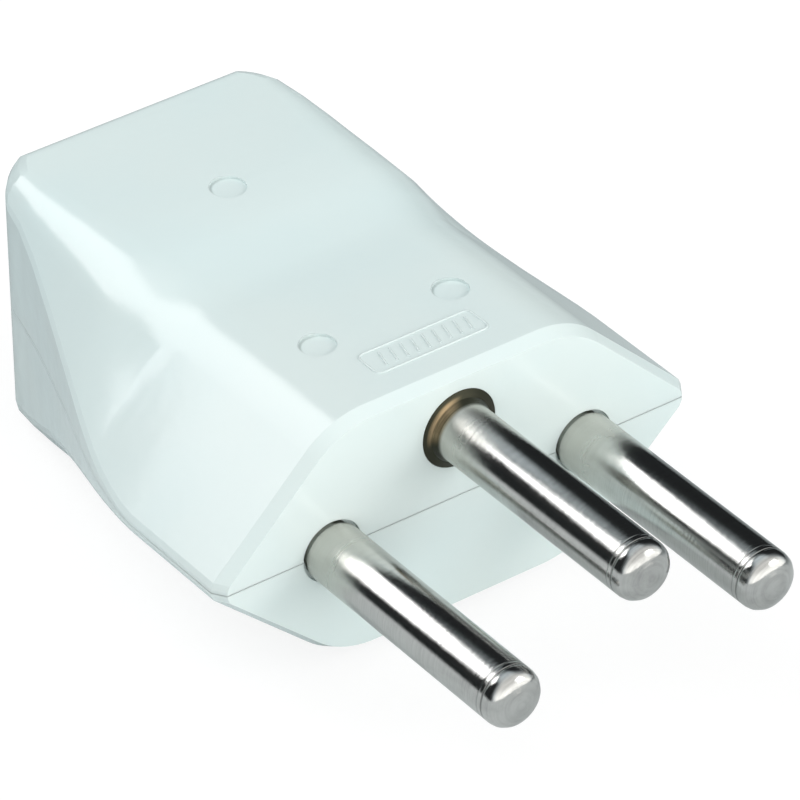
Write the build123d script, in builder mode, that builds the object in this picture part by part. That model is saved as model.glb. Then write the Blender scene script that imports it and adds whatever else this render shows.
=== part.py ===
from build123d import *
from typing import NamedTuple
import math
import os

os.makedirs("parts", exist_ok=True)

# The origin is the middle of the engagement face, on the parting plane between the live and
# neutral pins. +Y runs back into the plug, the pins point to -Y, and +Z is up. The two housing
# shells part at Z = 0. All sizes are in millimetres.

# Pins
pin_diameter = 4.0
pin_length = 19.0
pin_neck_diameter = 3.6
pin_neck_gap = 0.15
tip_cap_radius = 3.2
tip_corner_radius = 1.0
tip_cap_steps = 2
tip_corner_steps = 3
line_pin_spacing = 19.0
earth_pin_offset = 5.0
line_flange_diameter = 6.4
line_flange_thickness = 1.2
line_barrel_diameter = 5.0
earth_barrel_diameter = 5.4
earth_flare_length = 0.7
flare_steps = 2
earth_groove_start = 10.4
earth_groove_width = 1.6
barrel_end = 18.2

# Terminals in the rear ends of the pins
wire_bore_diameter = 2.8
wire_bore_depth = 5.4
terminal_inset = 2.6
terminal_screw_diameter = 2.4
terminal_head_diameter = 3.4
terminal_head_height = 1.3
terminal_head_gap = 0.4
terminal_tip_depth = 0.8
terminal_slot_width = 0.6
terminal_slot_depth = 0.6
guard_thickness = 0.3
guard_width = 1.6
guard_reach = 4.8
guard_lip = 1.4

# Stations of the housing along Y
bevel_depth = 0.9
taper_y = 9.5
bend_y = 12.5
step_y = 15.5
shoulder_y = 20.5
body_length = 35.5
waist_length = 9.5
grip_length = 4.5
section_step = 2.0

# Half width of the housing at the parting plane, at each station
front_half_width = 17.8
bend_half_width = 17.35
step_half_width = 16.55
shoulder_half_width = 14.75
waist_half_width = 12.8
grip_half_width = 11.3
rear_half_width = 10.35

# Height of the side ridges above the parting plane
front_ridge_height = 0.5
bend_ridge_height = 0.8
step_ridge_height = 1.4
shoulder_ridge_height = 3.1
waist_ridge_height = 5.4
grip_ridge_height = 7.6
rear_ridge_height = 8.2

# Height and half width of the flat top
front_height = 9.0
shoulder_height = 9.5
rear_height = 9.7
lower_drop = 0.5
front_top_half = 9.0
shoulder_top_half = 10.2
waist_top_half = 10.3
grip_top_half = 10.3
rear_top_half = 10.0

# Roundings and the bevel round the engagement face
front_top_radius = 6.3
shoulder_top_radius = 5.5
waist_top_radius = 4.0
grip_top_radius = 2.6
rear_top_radius = 1.6
front_ridge_bevel = 0.25
bend_ridge_bevel = 0.25
step_ridge_bevel = 0.3
flare_ridge_bevel = 0.35
grip_ridge_bevel = 0.3
rear_ridge_bevel = 0.2
rear_corner_radius = 4.0
rear_corner_allowance = 0.02
least_lean = 0.35
rear_edge_radius = 1.0
bevel_inset = 0.42

# Walls of the two shells and what they hold the pins with
front_wall = 3.0
rear_wall = 2.4
top_wall = 1.25
side_wall = 1.7
shoulder_wall = 0.9
cavity_corner = 0.8
seat_clearance = 0.03
pin_recess_diameter = 4.3
pin_recess_depth = 0.4
cradle_y = 12.2
cradle_thickness = 1.4
partition_x = 4.6
partition_thickness = 1.0
partition_end = 20.4
barrel_clearance = 0.2
fork_width = 5.9
fork_clearance = 0.1

# Sides of the round shapes that stay hidden inside the housing
hidden_sides = 12

# Round marks in the top, each over a screw tower
mark_diameter = 2.4
mark_depth = 0.2
front_tower_x = 5.0
front_tower_y = 7.6
rear_tower_inset = 11.3

# Housing screws and their towers
tower_diameter = 3.8
tower_base_diameter = 6.8
tower_base_thickness = 1.2
screw_diameter = 2.2
screw_clearance = 0.15
thread_clearance = 0.02
screw_head_diameter = 4.2
screw_head_height = 1.6
screw_seat_z = -6.4
screw_tip_z = 4.6
screw_tip_gap = 0.6
screw_slot_width = 0.7
screw_slot_depth = 0.8
slot_turn = 30
head_recess_clearance = 0.2

# Cord inlet and cord clamp
inlet_diameter = 7.8
inlet_flare = 0.7
clamp_inset = 6.2
clamp_depth = 4.4
clamp_screw_spacing = 14.4
clamp_thickness = 1.5
clamp_end_diameter = 4.0
clamp_end_chamfer = 1.2
clamp_arch_gap = 0.1
clamp_tooth_height = 0.4
clamp_tooth_width = 0.6
saddle_rib_thickness = 1.1
saddle_rib_spacing = 3.0
clamp_post_diameter = 4.0
clamp_screw_diameter = 2.2
clamp_screw_length = 6.0
clamp_head_diameter = 3.6
clamp_head_height = 1.4
clamp_slot_width = 0.6
clamp_slot_depth = 0.6

# Places worked out from the sizes above
waist_y = body_length - waist_length
grip_y = body_length - grip_length
rear_tower_y = body_length - rear_tower_inset
clamp_y = body_length - clamp_inset
line_x = line_pin_spacing / 2
terminal_y = barrel_end - terminal_inset
clamp_x = clamp_screw_spacing / 2
tower_places = [(-front_tower_x, front_tower_y), (front_tower_x, front_tower_y), (0, rear_tower_y)]
line_places = [(-line_x, 0), (line_x, 0)]
clamp_places = [(-clamp_x, clamp_y), (clamp_x, clamp_y)]
room = 2 * front_half_width


class Station(NamedTuple):
    """One cross-section of the housing, as half widths and heights from the parting plane."""
    y: float
    top_half: float
    height: float
    half_width: float
    ridge: float
    top_radius: float
    ridge_bevel: float


stations = [
    Station(taper_y, front_top_half, front_height, front_half_width,
            front_ridge_height, front_top_radius, front_ridge_bevel),
    Station(bend_y, front_top_half, front_height, bend_half_width,
            bend_ridge_height, front_top_radius, bend_ridge_bevel),
    Station(step_y, front_top_half, front_height, step_half_width,
            step_ridge_height, front_top_radius, step_ridge_bevel),
    Station(shoulder_y, shoulder_top_half, shoulder_height, shoulder_half_width,
            shoulder_ridge_height, shoulder_top_radius, flare_ridge_bevel),
    Station(waist_y, waist_top_half, rear_height, waist_half_width,
            waist_ridge_height, waist_top_radius, flare_ridge_bevel),
    Station(grip_y, grip_top_half, rear_height, grip_half_width,
            grip_ridge_height, grip_top_radius, grip_ridge_bevel),
    Station(body_length, rear_top_half, rear_height, rear_half_width,
            rear_ridge_height, rear_top_radius, rear_ridge_bevel),
]


def half_height(station, y, lower):
    """Height of the upper half's top, or depth of the lower half's level underside."""
    if not lower:
        return station.height
    return front_height - lower_drop + (rear_height - front_height) * y / body_length


def half_section(station, y, lower, bevel=0.0):
    """The part of the outer cross-section above the parting plane, as a sketch across Y."""
    slant = bevel * math.sqrt(2)
    side = station.half_width - slant
    top = half_height(station, y, lower) - bevel
    shoulder = station.top_half - slant + bevel
    ridge = station.ridge * top / station.height
    with BuildSketch(Plane.XZ.offset(-y)) as section:
        with BuildLine():
            Polyline(
                (-side, 0), (-side, ridge), (-shoulder, top),
                (shoulder, top), (side, ridge), (side, 0), close=True,
            )
        make_face()
        fillet(section.vertices().group_by(Axis.Y)[-1], station.top_radius)
        ridges = section.vertices().filter_by(lambda v: abs(v.X) > side - 0.001 and v.Y > 0)
        chamfer(ridges, station.ridge_bevel)
    return section.sketch


def slope(before, here, after):
    """Slope at the middle one of three (y, value) points, level where the values turn back."""
    arriving = (here[1] - before[1]) / (here[0] - before[0])
    leaving = (after[1] - here[1]) / (after[0] - here[0])
    return 2 * arriving * leaving / (arriving + leaving) if arriving * leaving > 0 else 0.0


def station_between(index, share):
    """The cross-section at a share of the way from one station to the next, on smooth curves."""
    start, end = stations[index:index + 2]
    before = stations[index - 1] if index else start._replace(y=0.0)
    after = Station(*[2 * b - a for a, b in zip(start, end)])
    if index + 2 < len(stations):
        after = stations[index + 2]
    values = []
    for a, b, c, d in zip(before, start, end, after):
        leave = slope((before.y, a), (start.y, b), (end.y, c)) * (end.y - start.y)
        arrive = slope((start.y, b), (end.y, c), (after.y, d)) * (end.y - start.y)
        square = 3 * (c - b) - 2 * leave - arrive
        cube = leave + arrive - 2 * (c - b)
        values.append(b + share * (leave + share * (square + share * cube)))
    return Station(*values)


flare = [stations[0]]
for index in range(len(stations) - 1):
    steps = round((stations[index + 1].y - stations[index].y) / section_step)
    flare += [station_between(index, (step + 1) / steps) for step in range(steps)]


def outer_half(lower):
    """The solid form of one housing half, above the parting plane."""
    front = stations[0]
    rear_slope = (grip_half_width - rear_half_width) / (body_length - grip_y)
    corner_x = rear_half_width + rear_corner_allowance
    grip_x = corner_x + rear_slope * (body_length - grip_y)
    with BuildPart() as half:
        loft([half_section(front, 0, lower, bevel_inset), half_section(front, bevel_depth, lower)], ruled=True)
        loft([half_section(front, bevel_depth, lower), half_section(front, taper_y, lower)], ruled=True)
        loft([half_section(s, s.y, lower) for s in flare], ruled=True)
        # Rounded corners of the rear, in plan and in side view
        with BuildSketch():
            with BuildLine():
                Polyline(
                    (-room, 0), (room, 0), (room, grip_y), (grip_x, grip_y), (corner_x, body_length),
                    (-corner_x, body_length), (-grip_x, grip_y), (-room, grip_y), close=True,
                )
            rear_plan = make_face()
            fillet(rear_plan.vertices().group_by(Axis.Y)[-1], rear_corner_radius)
        extrude(amount=room, mode=Mode.INTERSECT)
        with BuildSketch(Plane.YZ):
            with BuildLine():
                Polyline(
                    (0, 0), (body_length, 0), (body_length, half_height(stations[-1], body_length, lower)),
                    (0, rear_height), close=True,
                )
            side_view = make_face()
            fillet(side_view.vertices().group_by(Axis.X)[-1].sort_by(Axis.Y)[-1], rear_edge_radius)
        extrude(amount=room, both=True, mode=Mode.INTERSECT)
    return half.part


def cavity_section(station, y, lower):
    """The hollow's cross-section above the parting plane, with plain corners."""
    side = station.half_width - side_wall
    top = half_height(station, y, lower) - top_wall
    shoulder = min(station.top_half - shoulder_wall, side - least_lean) - cavity_corner
    ridge = station.ridge * top / station.height
    with BuildSketch(Plane.XZ.offset(-y)) as section:
        with BuildLine():
            Polyline(
                (-side, 0), (-side, ridge), (-shoulder - cavity_corner, top - cavity_corner), (-shoulder, top),
                (shoulder, top), (shoulder + cavity_corner, top - cavity_corner), (side, ridge), (side, 0),
                close=True,
            )
        make_face()
    return section.sketch


def cavity_half(lower):
    """The hollow inside one housing half, above the parting plane."""
    with BuildPart() as hollow:
        loft([cavity_section(stations[0], front_wall, lower), cavity_section(stations[0], taper_y, lower)]
             + [cavity_section(s, s.y, lower) for s in stations[2:]], ruled=True)
        with BuildSketch():
            with Locations((0, (body_length - rear_wall) / 2)):
                Rectangle(room, body_length - rear_wall)
        extrude(amount=room, mode=Mode.INTERSECT)
    return hollow.part


upper_outer = outer_half(lower=False)
upper_cavity = cavity_half(lower=False)
lower_outer = mirror(outer_half(lower=True), about=Plane.XY)
lower_cavity = mirror(cavity_half(lower=True), about=Plane.XY)

# What stands inside the upper shell: screw towers and the plate that cradles the pin barrels
with BuildPart() as upper_inside:
    with BuildSketch():
        with Locations(*tower_places):
            RegularPolygon(tower_diameter / 2, hidden_sides)
    extrude(amount=rear_height)
    with BuildSketch(Plane.XZ.offset(-cradle_y)):
        with Locations((0, rear_height / 2)):
            Rectangle(room, rear_height)
    extrude(amount=-cradle_thickness)
    add(upper_outer, mode=Mode.INTERSECT)

with BuildPart() as housing_upper:
    add(upper_outer)
    add(upper_cavity, mode=Mode.SUBTRACT)
    add(upper_inside.part)
    # Seats of the line pins in the front wall, and of all three barrels in the cradle plate
    with BuildSketch(Plane.XZ):
        with Locations(*line_places):
            RegularPolygon(pin_neck_diameter / 2 + seat_clearance, hidden_sides, major_radius=False)
        with Locations((0, earth_pin_offset)):
            Circle(earth_barrel_diameter / 2 + seat_clearance)
    extrude(amount=-front_wall, mode=Mode.SUBTRACT)
    with BuildSketch(Plane.XZ):
        with Locations(*line_places):
            Circle(pin_recess_diameter / 2)
    extrude(amount=-pin_recess_depth, mode=Mode.SUBTRACT)
    with BuildSketch(Plane.XZ.offset(-cradle_y)):
        with Locations(*line_places):
            RegularPolygon(line_barrel_diameter / 2 + seat_clearance, hidden_sides, major_radius=False)
        with Locations((0, earth_pin_offset)):
            RegularPolygon(earth_barrel_diameter / 2 + seat_clearance, hidden_sides, major_radius=False)
        with Locations((0, earth_pin_offset / 2)):
            Rectangle(earth_barrel_diameter + 2 * seat_clearance, earth_pin_offset)
    extrude(amount=-cradle_thickness, mode=Mode.SUBTRACT)
    # Room for the earth barrel under the top
    with BuildSketch(Plane.XZ.offset(-front_wall)):
        with Locations((0, earth_pin_offset)):
            RegularPolygon(earth_barrel_diameter / 2 + barrel_clearance, hidden_sides, major_radius=False)
    extrude(amount=front_wall - cradle_y, mode=Mode.SUBTRACT)
    with BuildSketch(Plane.XZ.offset(-cradle_y - cradle_thickness)):
        with Locations((0, earth_pin_offset)):
            RegularPolygon(earth_barrel_diameter / 2 + barrel_clearance, hidden_sides, major_radius=False)
    extrude(amount=cradle_y + cradle_thickness - partition_end, mode=Mode.SUBTRACT)
    # Blind holes that the housing screws bite into
    with BuildSketch():
        with Locations(*tower_places):
            RegularPolygon(screw_diameter / 2 + thread_clearance, hidden_sides, major_radius=False)
    extrude(amount=screw_tip_z + screw_tip_gap, mode=Mode.SUBTRACT)
    # Round marks in the outer face over the towers
    with BuildSketch(Plane.XY.offset(front_height - mark_depth)):
        with Locations(*tower_places[:2]):
            Circle(mark_diameter / 2)
    extrude(amount=front_height, mode=Mode.SUBTRACT)
    with BuildSketch(Plane.XY.offset(rear_height - mark_depth)):
        with Locations(tower_places[2]):
            Circle(mark_diameter / 2)
    extrude(amount=rear_height, mode=Mode.SUBTRACT)
    # Half of the cord inlet, flared where the cord leaves
    with BuildSketch(Plane.XZ.offset(-body_length)):
        Circle(inlet_diameter / 2)
    extrude(amount=rear_wall, mode=Mode.SUBTRACT)
    with BuildSketch(Plane.XZ.offset(-body_length)):
        Circle(inlet_diameter / 2 + inlet_flare)
    extrude(amount=inlet_flare, taper=45, mode=Mode.SUBTRACT)
housing_upper.part.label = "housing_upper"

# What stands inside the lower shell
lower_floor = lower_drop - rear_height
with BuildPart() as lower_inside:
    with BuildSketch():
        with Locations(*tower_places):
            RegularPolygon(tower_diameter / 2, hidden_sides)
        with Locations(*clamp_places):
            RegularPolygon(clamp_post_diameter / 2, hidden_sides)
    extrude(amount=lower_floor)
    with BuildSketch(Plane.XY.offset(screw_seat_z + tower_base_thickness)):
        with Locations(*tower_places):
            RegularPolygon(tower_base_diameter / 2, hidden_sides)
    extrude(amount=lower_floor)
    with BuildSketch(Plane.XZ.offset(-cradle_y)):
        with Locations((0, lower_floor / 2)):
            Rectangle(room, -lower_floor)
    extrude(amount=-cradle_thickness)
    # Walls between the live, earth and neutral chambers
    with BuildSketch():
        with Locations((-partition_x, (cradle_y + partition_end) / 2), (partition_x, (cradle_y + partition_end) / 2)):
            Rectangle(partition_thickness, partition_end - cradle_y)
    extrude(amount=lower_floor)
    # Fork that stands up into the groove of the earth pin
    with BuildSketch(Plane.XZ.offset(-earth_groove_start - fork_clearance)):
        with Locations((0, (lower_floor + earth_pin_offset) / 2)):
            Rectangle(fork_width, earth_pin_offset - lower_floor)
        with Locations((0, earth_pin_offset)):
            RegularPolygon(pin_neck_diameter / 2 + seat_clearance, hidden_sides,
                           major_radius=False, mode=Mode.SUBTRACT)
    extrude(amount=2 * fork_clearance - earth_groove_width)
    # Saddle ribs under the cord
    for side in (-1, 1):
        with BuildSketch(Plane.XZ.offset(-clamp_y - side * saddle_rib_spacing / 2)):
            with Locations((0, lower_floor / 2)):
                Rectangle(clamp_screw_spacing, -lower_floor)
            RegularPolygon(inlet_diameter / 2, hidden_sides, major_radius=False, mode=Mode.SUBTRACT)
        extrude(amount=saddle_rib_thickness / 2, both=True)

with BuildPart() as lower_envelope:
    add(lower_outer)
    with BuildSketch():
        with Locations((0, earth_groove_start)):
            Rectangle(fork_width + 1, 2 * earth_groove_width + 1)
    extrude(amount=earth_pin_offset)

with BuildPart() as housing_lower:
    add(lower_outer)
    add(lower_cavity, mode=Mode.SUBTRACT)
    add(lower_inside.part & lower_envelope.part)
    with BuildSketch(Plane.XZ):
        with Locations(*line_places):
            RegularPolygon(pin_neck_diameter / 2 + seat_clearance, hidden_sides, major_radius=False)
    extrude(amount=-front_wall, mode=Mode.SUBTRACT)
    with BuildSketch(Plane.XZ):
        with Locations(*line_places):
            Circle(pin_recess_diameter / 2)
    extrude(amount=-pin_recess_depth, mode=Mode.SUBTRACT)
    with BuildSketch(Plane.XZ.offset(-cradle_y)):
        with Locations(*line_places):
            RegularPolygon(line_barrel_diameter / 2 + seat_clearance, hidden_sides, major_radius=False)
    extrude(amount=-cradle_thickness, mode=Mode.SUBTRACT)
    # Through holes and head recesses of the housing screws
    with BuildSketch():
        with Locations(*tower_places):
            RegularPolygon(screw_diameter / 2 + screw_clearance, hidden_sides, major_radius=False)
    extrude(amount=lower_floor, mode=Mode.SUBTRACT)
    with BuildSketch(Plane.XY.offset(screw_seat_z)):
        with Locations(*tower_places):
            Circle(screw_head_diameter / 2 + head_recess_clearance)
    extrude(amount=lower_floor, mode=Mode.SUBTRACT)
    # Blind holes in the clamp posts
    with BuildSketch():
        with Locations(*clamp_places):
            RegularPolygon(clamp_screw_diameter / 2 + thread_clearance, hidden_sides, major_radius=False)
    extrude(amount=clamp_thickness - clamp_screw_length - screw_tip_gap, mode=Mode.SUBTRACT)
    with BuildSketch(Plane.XZ.offset(-body_length)):
        Circle(inlet_diameter / 2)
    extrude(amount=rear_wall, mode=Mode.SUBTRACT)
    with BuildSketch(Plane.XZ.offset(-body_length)):
        Circle(inlet_diameter / 2 + inlet_flare)
    extrude(amount=inlet_flare, taper=45, mode=Mode.SUBTRACT)
housing_lower.part.label = "housing_lower"


def pin_plane(x, z):
    """Plane through a pin's axis, with the radius along its X and the length along its Y."""
    return Plane(origin=(x, 0, z), x_dir=(1, 0, 0), z_dir=(0, 0, 1))


tip_reach = tip_cap_radius - tip_corner_radius
tip_cap_angle = math.asin((pin_diameter / 2 - tip_corner_radius) / tip_reach)
tip_middle_y = tip_cap_radius - pin_length
tip_corner_y = tip_middle_y - tip_reach * math.cos(tip_cap_angle)
tip_cap_turns = [tip_cap_angle * step / tip_cap_steps for step in range(tip_cap_steps)]
tip_corner_turns = [
    tip_cap_angle + (math.pi / 2 - tip_cap_angle) * step / tip_corner_steps for step in range(tip_corner_steps + 1)
]
tip_outline = [
    (tip_cap_radius * math.sin(turn), tip_middle_y - tip_cap_radius * math.cos(turn)) for turn in tip_cap_turns
] + [
    (pin_diameter / 2 - tip_corner_radius * (1 - math.sin(turn)), tip_corner_y - tip_corner_radius * math.cos(turn))
    for turn in tip_corner_turns
]


def pin_tail(x, z, diameter, start, end):
    """A length of a pin inside the housing, with many sides that lie on the diameter."""
    with BuildPart() as tail:
        with BuildSketch(Plane.XZ.offset(-start)):
            with Locations((x, z)):
                RegularPolygon(diameter / 2, hidden_sides)
        extrude(amount=start - end)
    return tail.part


def terminal_bores(x, z, barrel_radius):
    """The wire hole and the screw hole that are cut into a pin's barrel."""
    with BuildPart() as bores:
        with BuildSketch(Plane.XZ.offset(-barrel_end)):
            with Locations((x, z)):
                RegularPolygon(wire_bore_diameter / 2, hidden_sides, major_radius=False)
        extrude(amount=wire_bore_depth)
        with BuildSketch(Plane.XY.offset(z)):
            with Locations((x, terminal_y)):
                RegularPolygon(terminal_screw_diameter / 2 + thread_clearance, hidden_sides, major_radius=False)
        extrude(amount=-barrel_radius)
    return bores.part


def line_pin(x):
    """A live or neutral pin: round pin, neck in the front wall, flange behind it, drilled barrel."""
    flange_end = front_wall + line_flange_thickness
    with BuildPart() as pin:
        with BuildSketch(pin_plane(x, 0)):
            with BuildLine():
                Polyline(
                    *tip_outline, (pin_diameter / 2, -pin_neck_gap), (0, -pin_neck_gap), close=True,
                )
            make_face()
        revolve(axis=Axis((x, 0, 0), (0, 1, 0)))
        add(pin_tail(x, 0, pin_neck_diameter, -pin_neck_gap, front_wall))
        add(pin_tail(x, 0, line_flange_diameter, front_wall, flange_end))
        add(pin_tail(x, 0, line_barrel_diameter, flange_end, barrel_end))
        add(terminal_bores(x, 0, line_barrel_diameter / 2), mode=Mode.SUBTRACT)
    return pin.part


live_pin = line_pin(-line_x)
live_pin.label = "live_pin"
neutral_pin = line_pin(line_x)
neutral_pin.label = "neutral_pin"

# Earth pin: its thick shaft fills the hole in the front wall and flares into the pin at the face
with BuildPart() as earth_pin:
    barrel_radius = earth_barrel_diameter / 2
    groove_end = earth_groove_start + earth_groove_width
    flare_width = barrel_radius - pin_diameter / 2
    flare_turns = [math.pi / 2 * step / flare_steps for step in range(flare_steps + 1)]
    flare_outline = [
        (barrel_radius - flare_width * math.cos(turn), earth_flare_length * (math.sin(turn) - 1))
        for turn in flare_turns
    ]
    with BuildSketch(pin_plane(0, earth_pin_offset)):
        with BuildLine():
            Polyline(*tip_outline, *flare_outline, (barrel_radius, front_wall), (0, front_wall), close=True)
        make_face()
    revolve(axis=Axis((0, 0, earth_pin_offset), (0, 1, 0)))
    add(pin_tail(0, earth_pin_offset, earth_barrel_diameter, front_wall, earth_groove_start))
    add(pin_tail(0, earth_pin_offset, pin_neck_diameter, earth_groove_start, groove_end))
    add(pin_tail(0, earth_pin_offset, earth_barrel_diameter, groove_end, barrel_end))
    add(terminal_bores(0, earth_pin_offset, barrel_radius), mode=Mode.SUBTRACT)
earth_pin.part.label = "earth_pin"


def slotted_screw(place, shank_diameter, shank_length, head_diameter, head_height, slot_width, slot_depth, up):
    """Cheese-head screw whose head seats at the place given; the shank points up or down."""
    direction = 1 if up else -1
    with BuildPart() as screw:
        with BuildSketch(Plane.XY.offset(place[2])):
            with Locations((place[0], place[1])):
                if head_diameter == screw_head_diameter:
                    Circle(head_diameter / 2)
                else:
                    RegularPolygon(head_diameter / 2, hidden_sides)
        extrude(amount=-direction * head_height)
        with BuildSketch(Plane.XY.offset(place[2])):
            with Locations((place[0], place[1])):
                RegularPolygon(shank_diameter / 2, hidden_sides)
        extrude(amount=direction * shank_length)
        with BuildSketch(Plane.XY.offset(place[2] - direction * (head_height - slot_depth))):
            with Locations((place[0], place[1])):
                Rectangle(head_diameter + 1, slot_width, rotation=slot_turn)
        extrude(amount=-direction * head_height, mode=Mode.SUBTRACT)
    return screw.part


def wire_guard(x, z):
    """Leaf between the screw's tip and the wire, hooked over the barrel's end."""
    with BuildPart() as guard:
        with BuildSketch(Plane.YZ.offset(x)):
            with BuildLine():
                Polyline(
                    (barrel_end - guard_reach, z - terminal_tip_depth),
                    (barrel_end - guard_reach, z - terminal_tip_depth + guard_thickness),
                    (barrel_end + guard_thickness, z - terminal_tip_depth + guard_thickness),
                    (barrel_end + guard_thickness, z - terminal_tip_depth - guard_lip),
                    (barrel_end, z - terminal_tip_depth - guard_lip),
                    (barrel_end, z - terminal_tip_depth),
                    close=True,
                )
            make_face()
        extrude(amount=guard_width / 2, both=True)
    return guard.part


loose = []
for name, x, z, barrel in [
    ("live", -line_x, 0, line_barrel_diameter),
    ("neutral", line_x, 0, line_barrel_diameter),
    ("earth", 0, earth_pin_offset, earth_barrel_diameter),
]:
    seat = z - barrel / 2 - terminal_head_gap
    screw = slotted_screw(
        (x, terminal_y, seat), terminal_screw_diameter, z - terminal_tip_depth - seat,
        terminal_head_diameter, terminal_head_height, terminal_slot_width, terminal_slot_depth, True,
    )
    screw.label = name + "_terminal_screw"
    guard = wire_guard(x, z)
    guard.label = name + "_wire_guard"
    loose += [screw, guard]

for name, (x, y) in zip(["left", "right", "rear"], tower_places):
    screw = slotted_screw(
        (x, y, screw_seat_z), screw_diameter, screw_tip_z - screw_seat_z,
        screw_head_diameter, screw_head_height, screw_slot_width, screw_slot_depth, True,
    )
    screw.label = "housing_screw_" + name
    loose.append(screw)

for name, (x, y) in zip(["left", "right"], clamp_places):
    screw = slotted_screw(
        (x, y, clamp_thickness), clamp_screw_diameter, clamp_screw_length,
        clamp_head_diameter, clamp_head_height, clamp_slot_width, clamp_slot_depth, False,
    )
    screw.label = "clamp_screw_" + name
    loose.append(screw)

# Arched bar that presses the cord onto the saddle ribs
arch_radius = inlet_diameter / 2 + clamp_arch_gap
with BuildPart() as cord_clamp:
    with BuildSketch(Plane.XZ.offset(-clamp_y - clamp_depth / 2)):
        RegularPolygon(arch_radius + clamp_thickness, hidden_sides)
        with Locations((0, clamp_thickness / 2)):
            Rectangle(clamp_screw_spacing + clamp_end_diameter, clamp_thickness)
        RegularPolygon(arch_radius, hidden_sides, mode=Mode.SUBTRACT)
        with Locations((0, -room / 2)):
            Rectangle(2 * room, room, mode=Mode.SUBTRACT)
    extrude(amount=clamp_depth)
    tooth_arc = arch_radius - clamp_tooth_height
    for side in (-1, 1):
        with BuildSketch(Plane.XZ.offset(-clamp_y - side * saddle_rib_spacing / 2)):
            RegularPolygon(arch_radius + clamp_thickness / 2, hidden_sides)
            RegularPolygon(tooth_arc, hidden_sides, mode=Mode.SUBTRACT)
            with Locations((0, tooth_arc / 2 - room)):
                Rectangle(2 * room, 2 * room, mode=Mode.SUBTRACT)
        extrude(amount=clamp_tooth_width / 2, both=True)
    ends = cord_clamp.edges().filter_by(Axis.Z).group_by(Axis.X)
    chamfer(ends[0] + ends[-1], clamp_end_chamfer)
    with BuildSketch():
        with Locations(*clamp_places):
            RegularPolygon(clamp_screw_diameter / 2 + screw_clearance, hidden_sides, major_radius=False)
    extrude(amount=clamp_thickness, mode=Mode.SUBTRACT)
cord_clamp.part.label = "cord_clamp"

for piece in [housing_upper.part, housing_lower.part, live_pin, neutral_pin, earth_pin.part, cord_clamp.part, *loose]:
    export_step(piece, "parts/" + piece.label + ".step")
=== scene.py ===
import math

import bmesh
import bpy
from mathutils import Euler, Matrix, Vector


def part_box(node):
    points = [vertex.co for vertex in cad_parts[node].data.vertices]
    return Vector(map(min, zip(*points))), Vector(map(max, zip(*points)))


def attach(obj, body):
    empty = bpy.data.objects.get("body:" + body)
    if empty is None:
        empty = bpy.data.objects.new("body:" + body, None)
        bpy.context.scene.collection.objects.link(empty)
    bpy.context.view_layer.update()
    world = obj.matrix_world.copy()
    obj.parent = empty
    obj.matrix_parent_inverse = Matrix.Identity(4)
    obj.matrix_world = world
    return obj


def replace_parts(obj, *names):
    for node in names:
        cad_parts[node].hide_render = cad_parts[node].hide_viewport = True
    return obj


bl_info = {
    "name": "Type J mains plug",
    "version": (1, 0, 0),
    "blender": (4, 5, 0),
    "location": "3D View > Sidebar > Plug",
    "description": "Finishes, trim and studio for a white three-pin mains plug",
    "category": "Object",
}

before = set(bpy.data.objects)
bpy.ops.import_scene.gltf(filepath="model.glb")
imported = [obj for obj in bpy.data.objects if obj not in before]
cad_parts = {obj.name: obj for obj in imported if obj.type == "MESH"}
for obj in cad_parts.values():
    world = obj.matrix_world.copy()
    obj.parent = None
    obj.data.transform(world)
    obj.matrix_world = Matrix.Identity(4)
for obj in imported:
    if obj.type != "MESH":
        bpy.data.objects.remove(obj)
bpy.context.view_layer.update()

MM = 0.001
PINS = ("live_pin", "neutral_pin", "earth_pin")

# Middles of the three round marks in the top, and their radius, in millimetres
MARKS = ((-5.0, 7.6), (5.0, 7.6), (0.0, 24.2))
MARK_RADIUS = 1.2

# Plan rounding of the rear corners as middle x, middle y and radius, in millimetres
WALL_CORNER = (7.1, 31.5, 4.0)
FLAT_CORNER = (5.76, 32.56, 2.9)
# Turns and leans of the facets that round a corner, in degrees
CORNER_TURNS = range(24, 90, 8)
CORNER_LEANS = range(12, 90, 20)
# How high the rounding over a corner is for its overhang, and its least height in millimetres
DROP_SHARE = 1.05
LEAST_DROP = 0.3

# Steepest angle in degrees across which a surface is shaded as one
HOUSING_CREASE = 11
PIN_CREASE = 34

# Field of ribs on the top: size, middle and the ribs' lean, in millimetres
FIELD_SIZE = (8.4, 2.3)
FIELD_PLACE = (0.3, 4.0, 9.0)
RIB_LEAN = 0.35
# Shares of the field's depth for its corners and half a rib, and of its width for the row
CORNER_SHARE = 0.2
RIB_SHARE = 0.3
ROW_SHARE = 0.86

# Places along the pins, in millimetres from the face: the dull zone, the flare and two grooves
DULL_ZONE = (-6.5, -1.0)
FLARE_ZONE = (-0.95, -0.55)
TIP_GROOVE = -17.55
FINE_GROOVE = -17.15
# The earth pin's flare: its radius, where its band of painted reflection ends, and which side of it that
# painted reflection is on, facing the light
FLARE_RADIUS = 2.7
PAINTED_REFLECTION_BAND = (2.3, 2.55)
PAINTED_REFLECTION_SIDE = (-0.75, 0.65)

# Softboxes: direction from the plug, distance, width and height in metres
KEY_BOX = ((-0.37, 0.635, 0.68), 0.6, 0.40, 0.34)
FRONT_BOX = ((0.55, -0.65, 0.5), 0.6, 0.24, 0.24)
LAMP_TARGET = (0.0, 0.01, 0.0)
# Camera's place in millimetres and turn in degrees
CAMERA_PLACE = (-193.13, -261.61, 237.73)
CAMERA_TURN = (54.6532, 0.4854, -36.1538)
# Half the floor's width in metres, and its colours near the plug and behind it
FLOOR_REACH = 1.2
FLOOR_NEAR = (0.72, 0.75, 0.76, 1.0)
FLOOR_BEHIND = (0.28, 0.31, 0.32, 1.0)
# What the camera sees of the floor: the grey that takes the shadow, and the glow that makes it white
SHADOW_GREY = (0.2, 0.2, 0.2, 1.0)
FLOOR_GLOW = 0.84
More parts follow.
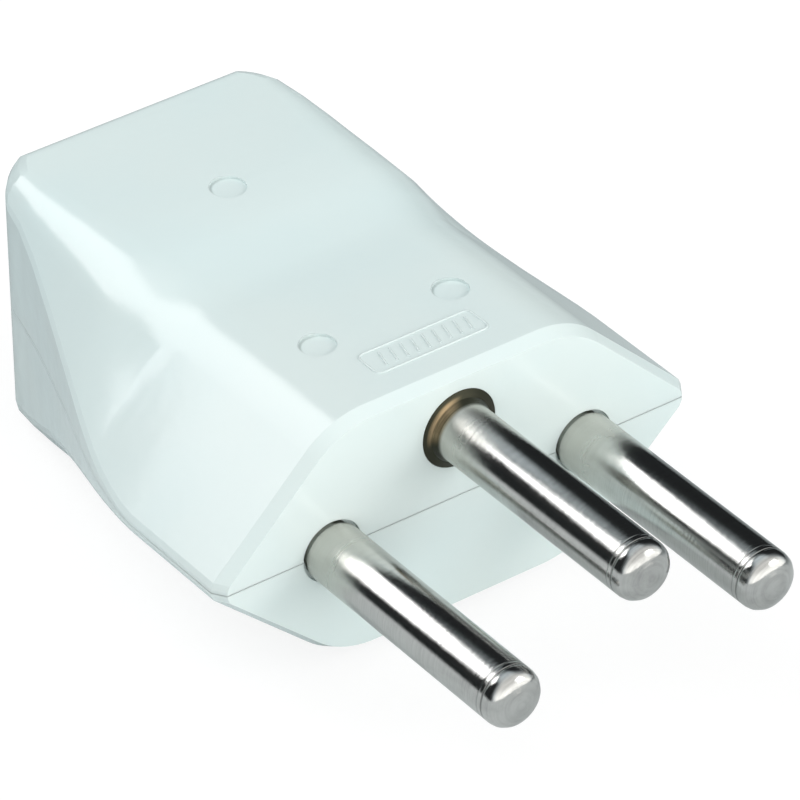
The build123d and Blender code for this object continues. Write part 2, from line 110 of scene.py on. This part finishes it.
# Tints of the light from the dark and the bright side of the room
BACK_TINT = (0.85, 0.95, 1.0, 1.0)
FRONT_TINT = (1.0, 0.995, 0.97, 1.0)
WHITE = (1.0, 1.0, 1.0, 1.0)
# Outputs of the Texture Coordinate node
DIRECTION, OBJECT_PLACE = 0, 3


class Value:
    """A number in a material's node tree. Python operators on it add Math nodes."""

    def __init__(self, finish, socket):
        self.finish = finish
        self.socket = socket

    def math(self, operation, *others):
        inputs = dict(enumerate((self,) + others))
        return self.finish.node("ShaderNodeMath", {"operation": operation}, inputs)[0]

    def flipped(self, operation, other):
        return self.finish.node("ShaderNodeMath", {"operation": operation}, {0: other, 1: self})[0]

    def __add__(self, other):
        return self.math("ADD", other)

    def __radd__(self, other):
        return self.math("ADD", other)

    def __sub__(self, other):
        return self.math("SUBTRACT", other)

    def __rsub__(self, other):
        return self.flipped("SUBTRACT", other)

    def __mul__(self, other):
        return self.math("MULTIPLY", other)

    def __rmul__(self, other):
        return self.math("MULTIPLY", other)

    def __truediv__(self, other):
        return self.math("DIVIDE", other)

    def __rtruediv__(self, other):
        return self.flipped("DIVIDE", other)

    def __pow__(self, other):
        return self.math("POWER", other)

    def __abs__(self):
        return self.math("ABSOLUTE")

    def step(self, low, high):
        """0 below low, 1 above high, and a smooth rise between them."""
        settings = {"interpolation_type": "SMOOTHSTEP"}
        return self.finish.node("ShaderNodeMapRange", settings, {0: self, 1: low, 2: high})[0]


class Finish:
    """The nodes of one material, or of the world."""

    def __init__(self, owner):
        owner.use_nodes = True
        self.owner = owner
        self.tree = owner.node_tree
        self.shader = self.tree.nodes.get("Principled BSDF")

    def node(self, kind, settings=None, inputs=None):
        """A node of any kind: its settings first, then the values or links of its sockets."""
        made = self.tree.nodes.new(kind)
        for key, value in (settings or {}).items():
            setattr(made, key, value)
        for key, value in (inputs or {}).items():
            self.feed(made.inputs[key], value)
        return [Value(self, socket) for socket in made.outputs if socket.enabled]

    def feed(self, socket, value):
        if isinstance(value, Value):
            self.tree.links.new(value.socket, socket)
        else:
            socket.default_value = value

    def place(self):
        """Where the shaded point is on the object, in millimetres, as three values."""
        spot = self.node("ShaderNodeTexCoord")[OBJECT_PLACE]
        return [axis * 1000 for axis in self.node("ShaderNodeSeparateXYZ", None, {0: spot})]

    def spot(self, x, y, z):
        return self.node("ShaderNodeCombineXYZ", None, {0: x, 1: y, 2: z})[0]

    def noise(self, spot, scale, detail=2.0, roughness=0.5):
        """Noise from 0 to 1 at a point made by spot()."""
        inputs = {"Vector": spot, "Scale": scale, "Detail": detail, "Roughness": roughness}
        return self.node("ShaderNodeTexNoise", None, inputs)[0]

    def mixed(self, factor, first, second):
        """A colour between two others."""
        settings = {"data_type": "RGBA"}
        return self.node("ShaderNodeMix", settings, {0: factor, 6: first, 7: second})[0]

    def bump(self, height, distance, strength=1.0):
        inputs = {"Height": height, "Distance": distance, "Strength": strength}
        return self.node("ShaderNodeBump", None, inputs)[0]

    def set(self, **sockets):
        """Set the shader's own sockets, named with underscores for spaces."""
        for name, value in sockets.items():
            self.feed(self.shader.inputs[name.replace("_", " ")], value)
        return self.owner


def opaque(colour):
    return (*colour[:3], 1.0)


def darker(colour, share):
    """The colour with each channel brought down to a share of itself."""
    return (*(channel * share for channel in colour[:3]), 1.0)


class HousingLook(bpy.types.PropertyGroup):
    """Sizes and colours of the moulded housing."""

    colour: bpy.props.FloatVectorProperty(
        name="Plastic", description="Colour of the moulded plastic", subtype="COLOR",
        default=(0.74, 0.83, 0.82), min=0.0, max=1.0)
    seam_width: bpy.props.FloatProperty(
        name="Seam width", description="Width of the parting line between the shells",
        default=0.07 * MM, min=0.0, unit="LENGTH", precision=5)
    # Strength of the painted shade on one side of the round marks' rims
    mark_painted_shade: bpy.props.FloatProperty(
        name="Mark shade", description="How dark the rims of the round marks are",
        default=0.4, min=0.0, max=1.0)
    rib_count: bpy.props.IntProperty(
        name="Ribs", description="Plain ribs in the field on the top", default=9, min=1, max=40)
    rib_height: bpy.props.FloatProperty(
        name="Rib height", description="How far the ribs and their frame stand out",
        default=0.08 * MM, min=0.0, unit="LENGTH", precision=5)
    gloss: bpy.props.FloatProperty(
        name="Roughness", description="Roughness of the polished plastic", default=0.14, min=0.0, max=1.0)


class PinLook(bpy.types.PropertyGroup):
    """Sizes and colours of the plated pins."""

    colour: bpy.props.FloatVectorProperty(
        name="Nickel", description="Colour of the nickel plating", subtype="COLOR",
        default=(0.56, 0.56, 0.545), min=0.0, max=1.0)
    base_colour: bpy.props.FloatVectorProperty(
        name="Near the face", description="Creamy tone of the pins next to the housing", subtype="COLOR",
        default=(0.60, 0.59, 0.53), min=0.0, max=1.0)
    # Warm painted reflection on the side of the earth pin's flare towards the light
    collar_painted_reflection: bpy.props.FloatVectorProperty(
        name="Collar", description="Warm colour on the lit side of the earth pin's flare", subtype="COLOR",
        default=(0.42, 0.31, 0.18), min=0.0, max=1.0)
    # Painted shade over the rest of the earth pin's flare
    collar_painted_shade: bpy.props.FloatVectorProperty(
        name="Collar shade", description="Dark tone of the rest of the earth pin's flare", subtype="COLOR",
        default=(0.05, 0.05, 0.035), min=0.0, max=1.0)


class StudioLook(bpy.types.PropertyGroup):
    """Lamps, backdrop and camera."""

    key_power: bpy.props.FloatProperty(
        name="Key power", description="Power of the softbox behind the plug",
        default=1.85, min=0.0, unit="POWER")
    front_power: bpy.props.FloatProperty(
        name="Front power", description="Power of the softbox in front of the plug",
        default=0.6, min=0.0, unit="POWER")
    front_level: bpy.props.FloatProperty(
        name="Front level", description="Level of the even light in front of the plug",
        default=1.95, min=0.0)
    top_level: bpy.props.FloatProperty(
        name="Top level", description="Level of the even light overhead", default=0.95, min=0.0)
    back_level: bpy.props.FloatProperty(
        name="Back level", description="Level of the dark room behind the plug", default=0.03, min=0.0)
    lens: bpy.props.FloatProperty(
        name="Lens", description="Focal length of the camera in millimetres", default=297.75, min=1.0)


def plastic(name, look, marked=True):
    """Glossy moulded plastic, with a parting line at the middle plane, painted shade on one side of the
    rims in the marks, and a painted cool tint of the back light towards the rear.
    """
    finish = Finish(bpy.data.materials.new(name))
    x, y, z = finish.place()
    spot = finish.spot(x, y, z)
    half_seam = look.seam_width * 500
    seam = (1 - abs(z).step(half_seam * 0.4, half_seam * 1.6)) * (1 - y.step(1.0, 6.0) * 0.6)
    cloud = finish.noise(spot, 0.09, 2.0)
    peel = finish.noise(spot, 1.1, 1.0)
    grain = finish.noise(spot, 14.0, 2.0)
    base = opaque(look.colour)
    cool_tone_and_painted_back_light = (base[0] * 0.95, base[1] * 0.985, base[2], 1.0)
    dark = darker(base, 0.38)
    # A cooler tone at random, and towards the rear a painted cool tint of the back light
    colour = finish.mixed(cloud.step(0.35, 0.75) * 0.6 + y.step(2.0, 20.0) * 0.4, base, cool_tone_and_painted_back_light)
    colour = finish.mixed(seam * 0.5, colour, dark)
    if marked:
        # Painted shade: a dark crescent on the rear left side of each round mark's rim, where its recess
        # wall is in shade
        rough_edge = finish.noise(finish.spot(x * 3, y * 3, 0.0), 1.0, 3.0, 0.7)
        for middle_x, middle_y in MARKS:
            across = x - middle_x
            along = y - middle_y
            reach = (across * across + along * along) ** 0.5
            rim = 1 - abs(reach + rough_edge * 0.12 - MARK_RADIUS + 0.02).step(0.02, 0.17)
            shaded = (along * 0.75 - across * 0.65).step(0.15, 1.0)
            colour = finish.mixed(rim * shaded * z.step(7.0, 8.0) * look.mark_painted_shade, colour, dark)
    height = peel * 0.010 + grain * 0.0012 - seam * 0.05
    return finish.set(
        Base_Color=colour,
        Roughness=look.gloss + cloud * 0.05 + grain * 0.02 + seam * 0.3,
        Normal=finish.bump(height, MM),
        IOR=1.5,
        Subsurface_Weight=0.12,
        Subsurface_Radius=(1.0, 1.0, 1.0),
        Subsurface_Scale=0.0012,
    )


def nickel(name, look, axis_x, axis_z, collar=False):
    """Turned and plated metal, with fine rings round the pin's axis, painted shade in the two grooves near
    the tip, and on the earth pin's flare a painted reflection over painted shade.
    """
    finish = Finish(bpy.data.materials.new(name))
    x, y, z = finish.place()
    rings = finish.noise(finish.spot(x * 0.25, y * 9.0, z * 0.25), 1.0, 5.0, 0.75)
    coarse = finish.noise(finish.spot(x * 0.5, y * 2.2, z * 0.5), 1.0, 3.0, 0.6)
    grain = finish.noise(finish.spot(x * 5.0, y * 9.0, z * 5.0), 1.0, 3.0, 0.7)
    stain = finish.noise(finish.spot(x * 0.9, y * 0.35, z * 0.9), 1.0, 3.0, 0.6)
    near_face = y.step(*DULL_ZONE)
    groove = 1 - abs(y - TIP_GROOVE).step(0.03, 0.10)
    second = 1 - abs(y - FINE_GROOVE).step(0.02, 0.08)
    bright = opaque(look.colour)
    dull = darker(bright, 0.55)
    dark = darker(bright, 0.25)
    cream = opaque(look.base_colour)
    colour = finish.mixed(rings.step(0.35, 0.75) * 0.45 + stain.step(0.45, 0.75) * 0.3, bright, dull)
    colour = finish.mixed(near_face * (0.45 + rings * 0.4), colour, cream)
    # Painted shade in the two grooves near the tip; their dents come from the bump below
    colour = finish.mixed(groove * 0.75 + second * 0.4, colour, dark)
    # On the earth pin's flare: a painted reflection on the side towards the light, painted shade on the
    # rest
    if collar:
        across = x - axis_x
        up = z - axis_z
        facing = (across * PAINTED_REFLECTION_SIDE[0] + up * PAINTED_REFLECTION_SIDE[1]) / FLARE_RADIUS
        reach = (across * across + up * up) ** 0.5
        lit = facing.step(0.5, 0.85) * (1 - reach.step(*PAINTED_REFLECTION_BAND)) * rings.step(0.2, 0.6)
        painted_flare = finish.mixed(lit, opaque(look.collar_painted_shade), opaque(look.collar_painted_reflection))
        colour = finish.mixed(y.step(*FLARE_ZONE), colour, painted_flare)
    height = rings * (0.006 + near_face * 0.012) + coarse * 0.006 + grain * 0.003
    height = height - groove * 0.03 - second * 0.015
    return finish.set(
        Base_Color=colour,
        Metallic=1.0,
        Roughness=0.07 + rings * 0.09 + near_face * 0.18 + stain.step(0.5, 0.8) * 0.08,
        Normal=finish.bump(height, MM),
    )


def worked_metal(name, colour, roughness):
    """Plain plated or rolled metal of the small inner parts."""
    finish = Finish(bpy.data.materials.new(name))
    x, y, z = finish.place()
    spot = finish.spot(x, y, z)
    blotch = finish.noise(spot, 0.8, 3.0)
    grain = finish.noise(finish.spot(x * 2, y * 14, z * 2), 1.0, 3.0)
    dull = darker(colour, 0.75)
    return finish.set(
        Base_Color=finish.mixed(blotch.step(0.3, 0.7), opaque(colour), dull),
        Metallic=1.0,
        Roughness=roughness + grain * 0.12,
        Normal=finish.bump(grain * 0.004, MM),
    )


def wear(node, material):
    """Give a CAD node its finish."""
    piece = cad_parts[node]
    piece.data.materials.clear()
    piece.data.materials.append(material)


def seated(piece, material):
    """Give a piece of the scene its finish and let it move with the plug."""
    piece.data.materials.clear()
    piece.data.materials.append(material)
    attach(piece, "root")
    return piece


def shaved(form, reach, normal):
    """Cut away what lies further out than the reach along the normal, and close the cut."""
    parts = form.verts[:] + form.edges[:] + form.faces[:]
    cut = bmesh.ops.bisect_plane(
        form, geom=parts, dist=0.0001 * MM, plane_co=normal * reach * MM, plane_no=normal, clear_outer=True)
    rim = [part for part in cut["geom_cut"] if isinstance(part, bmesh.types.BMEdge)]
    made = bmesh.ops.holes_fill(form, edges=rim, sides=0)["faces"]
    for face in made:
        face.normal_update()
        if face.normal.dot(normal) < 0:
            face.normal_flip()
    return made


def corner_reach(corner, across, along):
    """How far a rounded corner in plan reaches in the direction given."""
    x, y, radius = corner
    return x * across + y * along + radius


def rounded_rear(form, turned, flat):
    """Round the two rear corners in plan, up to the shell's flat at the height given in millimetres.

    At each turn round a corner, a quarter of an ellipse joins the wall to the flat.
    """
    for hand in (-1, 1):
        for turn in CORNER_TURNS:
            across, along = math.cos(math.radians(turn)), math.sin(math.radians(turn))
            inner = corner_reach(FLAT_CORNER, across, along)
            overhang = corner_reach(WALL_CORNER, across, along) - inner
            drop = max(DROP_SHARE * overhang, LEAST_DROP)
            for lean in CORNER_LEANS:
                out, up = math.cos(math.radians(lean)), math.sin(math.radians(lean))
                reach = inner * out + (abs(flat) - drop) * up + math.hypot(overhang * out, drop * up)
                normal = Vector((hand * across * out, along * out, math.copysign(up, flat)))
                for face in shaved(form, reach, normal):
                    face[turned] = 1


def smooth_copy(node, material, angle, flat=None):
    """Stand in for a CAD node with its mesh, shaded as one surface up to the angle given.

    With the height of a shell's flat in millimetres, its rear corners are rounded too.
    """
    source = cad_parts[node]
    mesh = source.data.copy()
    mesh.transform(source.matrix_world)
    form = bmesh.new()
    form.from_mesh(mesh)
    bmesh.ops.remove_doubles(form, verts=form.verts, dist=0.001 * MM)
    turned = form.faces.layers.int.new("turned")
    if flat:
        rounded_rear(form, turned, flat)
    for edge in form.edges:
        same = all(face[turned] for face in edge.link_faces)
        edge.smooth = same or edge.calc_face_angle(0.0) < math.radians(angle)
    for face in form.faces:
        face.smooth = True
    form.faces.layers.int.remove(turned)
    form.to_mesh(mesh)
    form.free()
    if "custom_normal" in mesh.attributes:
        mesh.attributes.remove(mesh.attributes["custom_normal"])
    piece = bpy.data.objects.new(node + "_finish", mesh)
    bpy.context.scene.collection.objects.link(piece)
    seated(piece, material)
    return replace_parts(piece, node)


def rib_field():
    """Geometry node group: a rounded frame with a row of plain leaning ribs inside it."""
    group = bpy.data.node_groups.new("rib_field", "GeometryNodeTree")
    group.interface.new_socket("Geometry", in_out="OUTPUT", socket_type="NodeSocketGeometry")
    kinds = {"Count": "NodeSocketInt", "Width": "NodeSocketFloat", "Depth": "NodeSocketFloat",
             "Height": "NodeSocketFloat", "Lean": "NodeSocketFloat", "Material": "NodeSocketMaterial"}
    for name, kind in kinds.items():
        group.interface.new_socket(name, in_out="INPUT", socket_type=kind)
    asked = group.nodes.new("NodeGroupInput")

    def step(kind, settings=None, inputs=None):
        node = group.nodes.new(kind)
        for key, value in (settings or {}).items():
            setattr(node, key, value)
        for key, value in (inputs or {}).items():
            if isinstance(value, bpy.types.NodeSocket):
                group.links.new(value, node.inputs[key])
            else:
                node.inputs[key].default_value = value
        return node.outputs[0]

    def maths(operation, first, second):
        return step("ShaderNodeMath", {"operation": operation}, {0: first, 1: second})

    width, depth, height = asked.outputs["Width"], asked.outputs["Depth"], asked.outputs["Height"]
    profile = step("GeometryNodeCurvePrimitiveCircle", None, {"Resolution": 12, "Radius": height})
    border = step("GeometryNodeCurvePrimitiveQuadrilateral", None, {"Width": width, "Height": depth})
    rounded = step("GeometryNodeFilletCurve", {"mode": "POLY"},
                   {"Curve": border, "Count": 8, "Radius": maths("MULTIPLY", depth, CORNER_SHARE)})
    rail = step("GeometryNodeCurveToMesh", None, {"Curve": rounded, "Profile Curve": profile})
    half = maths("MULTIPLY", depth, RIB_SHARE)
    foot = step("ShaderNodeCombineXYZ", None, {0: 0.0, 1: maths("MULTIPLY", half, -1.0), 2: 0.0})
    head = step("ShaderNodeCombineXYZ", None, {0: asked.outputs["Lean"], 1: half, 2: 0.0})
    bar = step("GeometryNodeCurvePrimitiveLine", None, {"Start": foot, "End": head})
    rib = step("GeometryNodeCurveToMesh", None, {"Curve": bar, "Profile Curve": profile, "Fill Caps": True})
    spacing = maths("DIVIDE", maths("MULTIPLY", width, ROW_SHARE), asked.outputs["Count"])
    gaps = maths("SUBTRACT", asked.outputs["Count"], 1.0)
    first = maths("MULTIPLY", gaps, maths("MULTIPLY", spacing, -0.5))
    points = step("GeometryNodeMeshLine", {"mode": "OFFSET"}, {
        "Count": asked.outputs["Count"],
        "Start Location": step("ShaderNodeCombineXYZ", None, {0: first, 1: 0.0, 2: 0.0}),
        "Offset": step("ShaderNodeCombineXYZ", None, {0: spacing, 1: 0.0, 2: 0.0}),
    })
    row = step("GeometryNodeInstanceOnPoints", None, {"Points": points, "Instance": rib})
    join = group.nodes.new("GeometryNodeJoinGeometry")
    group.links.new(rail, join.inputs[0])
    group.links.new(row, join.inputs[0])
    real = step("GeometryNodeRealizeInstances", None, {0: join.outputs[0]})
    painted = step("GeometryNodeSetMaterial", None, {0: real, "Material": asked.outputs["Material"]})
    group.links.new(painted, group.nodes.new("NodeGroupOutput").inputs[0])
    return group


def grown(name, group, values):
    """A plain mesh object made by a geometry node group with the values given."""
    seed = bpy.data.objects.new(name + "_seed", bpy.data.meshes.new(name + "_seed"))
    bpy.context.scene.collection.objects.link(seed)
    modifier = seed.modifiers.new("grow", "NODES")
    modifier.node_group = group
    for item in group.interface.items_tree:
        if item.in_out == "INPUT":
            modifier[item.identifier] = values[item.name]
    shape = bpy.data.meshes.new_from_object(seed.evaluated_get(bpy.context.evaluated_depsgraph_get()))
    bpy.data.objects.remove(seed)
    piece = bpy.data.objects.new(name, shape)
    bpy.context.scene.collection.objects.link(piece)
    return piece


class PLUG_OT_housing(bpy.types.Operator):
    """Finish the two housing shells in glossy white plastic"""

    bl_idname = "plug.housing"
    bl_label = "Housing"

    def execute(self, context):
        look = context.scene.plug_housing
        material = plastic("housing_plastic", look)
        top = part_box("housing_upper")[1].z
        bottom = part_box("housing_lower")[0].z
        smooth_copy("housing_upper", material, HOUSING_CREASE, top / MM)
        smooth_copy("housing_lower", material, HOUSING_CREASE, bottom / MM)
        return {"FINISHED"}


class PLUG_OT_rib_field(bpy.types.Operator):
    """Raise a framed field of plain ribs on the top, where such plugs carry moulded signs"""

    bl_idname = "plug.rib_field"
    bl_label = "Rib field"

    def execute(self, context):
        look = context.scene.plug_housing
        material = plastic("rib_plastic", look, marked=False)
        width, depth = FIELD_SIZE
        ribs = grown("rib_field", rib_field(), {
            "Count": look.rib_count, "Width": width * MM, "Depth": depth * MM, "Height": look.rib_height,
            "Lean": RIB_LEAN * MM, "Material": material,
        })
        ribs.data.transform(Matrix.Translation(Vector(FIELD_PLACE) * MM))
        ribs.data.shade_smooth()
        seated(ribs, material)
        return {"FINISHED"}


class PLUG_OT_pins(bpy.types.Operator):
    """Finish the three pins in turned nickel"""

    bl_idname = "plug.pins"
    bl_label = "Pins"

    def execute(self, context):
        look = context.scene.plug_pins
        for node in PINS:
            low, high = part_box(node)
            middle = (low + high) / 2
            finish = nickel(node + "_nickel", look, middle.x / MM, middle.z / MM, node == "earth_pin")
            smooth_copy(node, finish, PIN_CREASE)
        return {"FINISHED"}


class PLUG_OT_inner_parts(bpy.types.Operator):
    """Finish the screws, wire guards and cord clamp inside the housing"""

    bl_idname = "plug.inner_parts"
    bl_label = "Inner parts"

    def execute(self, context):
        zinc = worked_metal("zinc_plate", (0.62, 0.61, 0.57), 0.3)
        brass = worked_metal("spring_brass", (0.74, 0.58, 0.32), 0.25)
        moulded = plastic("clamp_plastic", context.scene.plug_housing, marked=False)
        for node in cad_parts:
            if "screw" in node:
                wear(node, zinc)
            elif "guard" in node:
                wear(node, brass)
            elif "clamp" in node:
                wear(node, moulded)
        return {"FINISHED"}


def softbox(name, power, toward, distance, width, height):
    """A flat lamp that faces the plug from the direction given."""
    lamp = bpy.data.lights.new(name, "AREA")
    lamp.shape = "RECTANGLE"
    lamp.size = width
    lamp.size_y = height
    lamp.energy = power
    holder = bpy.data.objects.new(name, lamp)
    away = Vector(toward).normalized()
    holder.location = Vector(LAMP_TARGET) + away * distance
    holder.rotation_euler = (-away).to_track_quat("-Z", "Y").to_euler()
    bpy.context.scene.collection.objects.link(holder)


class PLUG_OT_studio(bpy.types.Operator):
    """Set the floor, backdrop, lamps and camera"""

    bl_idname = "plug.studio"
    bl_label = "Studio"

    def execute(self, context):
        look = context.scene.plug_studio
        laid_floor(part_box("housing_lower")[0].z)
        context.scene.world = light_tent(look)
        softbox("key_softbox", look.key_power, *KEY_BOX)
        softbox("front_softbox", look.front_power, *FRONT_BOX)

        camera = bpy.data.cameras.new("camera")
        camera.sensor_width = 36.0
        camera.lens = look.lens
        camera.clip_start = 0.01
        camera.clip_end = 10.0
        viewer = bpy.data.objects.new("camera", camera)
        viewer.location = Vector(CAMERA_PLACE) * MM
        viewer.rotation_euler = Euler([math.radians(angle) for angle in CAMERA_TURN])
        context.scene.collection.objects.link(viewer)
        context.scene.camera = viewer
        context.scene.view_settings.view_transform = "Standard"
        return {"FINISHED"}


def light_tent(look):
    """A world with even light from the front, a dark room behind the plug, and white for the camera."""
    room = Finish(bpy.data.worlds.new("studio"))
    direction = room.node("ShaderNodeTexCoord")[DIRECTION]
    across, along, up = room.node("ShaderNodeSeparateXYZ", None, {0: direction})
    front = (along * -1 + up * 0.3 + across * 0.12).step(0.0, 0.7)
    overhead = up.step(0.80, 0.97)
    colour = room.mixed(front, BACK_TINT, FRONT_TINT)
    level = front * (look.front_level * (1 - up.step(0.15, 0.7) * 0.45) - look.back_level) + look.back_level
    level = level * (1 - overhead) + overhead * look.top_level
    seen = room.node("ShaderNodeLightPath")[0]
    glow = room.node("ShaderNodeBackground", None, {0: colour, 1: level})[0]
    white = room.node("ShaderNodeBackground", None, {0: WHITE, 1: 1.0})[0]
    both = room.node("ShaderNodeMixShader", None, {0: seen, 1: glow, 2: white})[0]
    room.feed(room.tree.nodes["World Output"].inputs[0], both)
    return room.owner


def laid_floor(height):
    """A wide square floor at the height given, in metres."""
    mesh = bpy.data.meshes.new("floor")
    form = bmesh.new()
    signs = ((-1, -1), (1, -1), (1, 1), (-1, 1))
    form.faces.new([form.verts.new((x * FLOOR_REACH, y * FLOOR_REACH, height)) for x, y in signs])
    form.to_mesh(mesh)
    form.free()
    floor = bpy.data.objects.new("floor", mesh)
    bpy.context.scene.collection.objects.link(floor)
    mesh.materials.append(floor_paint())
    return floor


def floor_paint():
    """Pale floor that the camera sees as white, with the plug's shadow kept faint."""
    finish = Finish(bpy.data.materials.new("floor_white"))
    x, y, z = finish.place()
    behind = (y * 0.75 + x * 0.65).step(0.0, 45.0)
    finish.set(Base_Color=finish.mixed(behind, FLOOR_NEAR, FLOOR_BEHIND), Roughness=0.9)
    seen = finish.node("ShaderNodeLightPath")[0]
    faint = finish.node("ShaderNodeBsdfDiffuse", None, {0: SHADOW_GREY})[0]
    glow = finish.node("ShaderNodeEmission", None, {0: WHITE, 1: FLOOR_GLOW})[0]
    pale = finish.node("ShaderNodeAddShader", None, {0: faint, 1: glow})[0]
    plain = Value(finish, finish.shader.outputs[0])
    both = finish.node("ShaderNodeMixShader", None, {0: seen, 1: plain, 2: pale})[0]
    finish.feed(finish.tree.nodes["Material Output"].inputs[0], both)
    return finish.owner


class PLUG_PT_pieces(bpy.types.Panel):
    """The plug's pieces and their looks"""

    bl_label = "Mains plug"
    bl_idname = "PLUG_PT_pieces"
    bl_space_type = "VIEW_3D"
    bl_region_type = "UI"
    bl_category = "Plug"

    def draw(self, context):
        scene = context.scene
        for operator, group in SECTIONS:
            section = self.layout.box()
            section.operator(operator.bl_idname)
            if group:
                look = getattr(scene, group)
                for name in look.__annotations__:
                    section.prop(look, name)


SECTIONS = (
    (PLUG_OT_housing, "plug_housing"),
    (PLUG_OT_rib_field, None),
    (PLUG_OT_pins, "plug_pins"),
    (PLUG_OT_inner_parts, None),
    (PLUG_OT_studio, "plug_studio"),
)
LOOKS = {"plug_housing": HousingLook, "plug_pins": PinLook, "plug_studio": StudioLook}


def register():
    for look in LOOKS.values():
        bpy.utils.register_class(look)
    for operator, group in SECTIONS:
        bpy.utils.register_class(operator)
    bpy.utils.register_class(PLUG_PT_pieces)
    for name, look in LOOKS.items():
        setattr(bpy.types.Scene, name, bpy.props.PointerProperty(type=look))


def unregister():
    for name in LOOKS:
        delattr(bpy.types.Scene, name)
    bpy.utils.unregister_class(PLUG_PT_pieces)
    for operator, group in reversed(SECTIONS):
        bpy.utils.unregister_class(operator)
    for look in LOOKS.values():
        bpy.utils.unregister_class(look)


def main():
    register()
    bpy.ops.plug.housing()
    bpy.ops.plug.rib_field()
    bpy.ops.plug.pins()
    bpy.ops.plug.inner_parts()
    bpy.ops.plug.studio()


if __name__ == "__main__":
    main()
